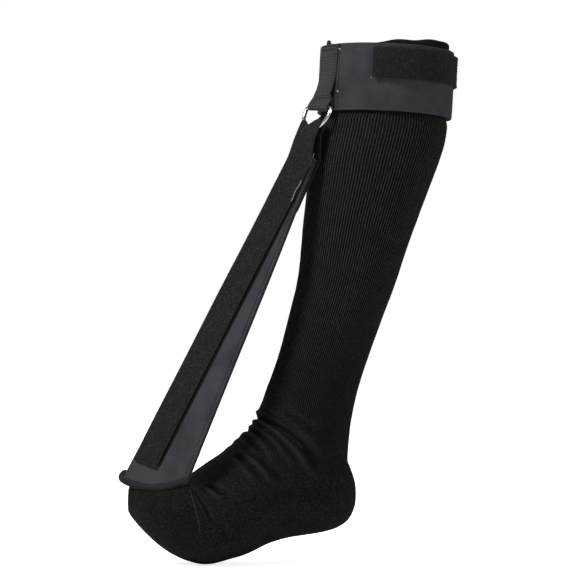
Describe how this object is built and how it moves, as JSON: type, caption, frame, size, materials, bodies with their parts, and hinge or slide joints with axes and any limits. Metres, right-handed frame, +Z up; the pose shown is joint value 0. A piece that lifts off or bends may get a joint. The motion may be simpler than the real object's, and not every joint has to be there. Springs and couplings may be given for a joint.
{
  "type": "stretching sock",
  "caption": "Knee-high ribbed sock with a padded calf cuff, a D-ring hung on the shin and a padded panel sewn to the toes, drawn up by a hook-and-loop strap.",
  "frame": {"origin": "centre of the leg opening, level with the knit rim", "axes": "+Z up the upright leg, -Y toward the toes, +X toward the side the cuff's closing tape lies on"},
  "size_m": [0.1173, 0.2939, 0.4351],
  "materials": {
    "knit": "ribbed and plain knit, matt",
    "laminate": "smooth knit face, matt",
    "foam": "closed-cell foam, matt",
    "loop_tape": "brushed loop, matt",
    "hook_tape": "moulded hooks, matt",
    "webbing": "plain woven",
    "thread": "sewing thread",
    "steel": "polished"
  },
  "bodies": {
    "leg": {"sock_leg": "knit", "sock_welt": "knit", "cuff_lining": "laminate", "cuff_foam": "foam", "cuff_shell": "laminate", "cuff_stitching": "thread", "hanger_anchor": "webbing"},
    "cuff_flap": {"flap_lining": "laminate", "flap_foam": "foam", "flap_shell": "laminate", "tab_anchor": "loop_tape"},
    "cuff_tab": {"cuff_tab": "loop_tape", "cuff_tab_hooks": "hook_tape"},
    "hanger": {"hanger_loop": "webbing", "hanger_bartacks": "thread"},
    "ring": {"d_ring": "steel", "pull_strap_loop": "loop_tape"},
    "strap": {"pull_strap_front": "loop_tape", "pull_strap_hooks": "hook_tape"},
    "foot": {"sock_foot": "knit", "sock_toe": "knit"},
    "panel": {"panel_face": "laminate", "panel_foam": "foam", "panel_backing": "laminate", "panel_hook_strip": "loop_tape", "panel_binding": "thread"}
  },
  "joints": [
    {"name": "ankle_flex", "type": "hinge", "parent": "leg", "child": "foot", "pos_m": [0, -0.09, -0.352], "axis": [-0.9063, -0.4226, 0], "range_deg": [-10, 3]},
    {"name": "toe_panel_swing", "type": "hinge", "parent": "foot", "child": "panel", "pos_m": [0.00129, -0.2141, -0.36584], "axis": [-0.9063, -0.4226, 0], "range_deg": [-2.6, 8.4]},
    {"name": "hanger_swing", "type": "hinge", "parent": "leg", "child": "hanger", "pos_m": [0, -0.06332, -0.0438], "axis": [-0.9063, -0.4226, 0], "range_deg": [-1.05, 0.35]},
    {"name": "ring_swing", "type": "hinge", "parent": "hanger", "child": "ring", "pos_m": [0.002, -0.0664, -0.0575], "axis": [-0.9063, -0.4226, 0], "range_deg": [-0.75, 0.25]},
    {"name": "strap_peel", "type": "hinge", "parent": "ring", "child": "strap", "pos_m": [0.00307, -0.08149, -0.08411], "axis": [-0.9751, -0.2073, 0.0785], "range_deg": [0, 115]},
    {"name": "cuff_open", "type": "hinge", "parent": "leg", "child": "cuff_flap", "pos_m": [-0.0537, 0.01768, -0.03653], "axis": [0, 0.0523, 0.9986], "range_deg": [0, 45]},
    {"name": "tab_peel", "type": "hinge", "parent": "cuff_flap", "child": "cuff_tab", "pos_m": [-0.00131, 0.0612, -0.0273], "axis": [0, 0.0523, 0.9986], "range_deg": [0, 100]}
  ],
  "couplings": [
    {"joint": "toe_panel_swing", "follows": "ankle_flex", "ratio": -0.8305},
    {"joint": "hanger_swing", "follows": "ankle_flex", "ratio": 0.1},
    {"joint": "ring_swing", "follows": "ankle_flex", "ratio": 0.0695},
    {"joint": "tab_peel", "follows": "cuff_open", "ratio": 2.2}
  ]
}
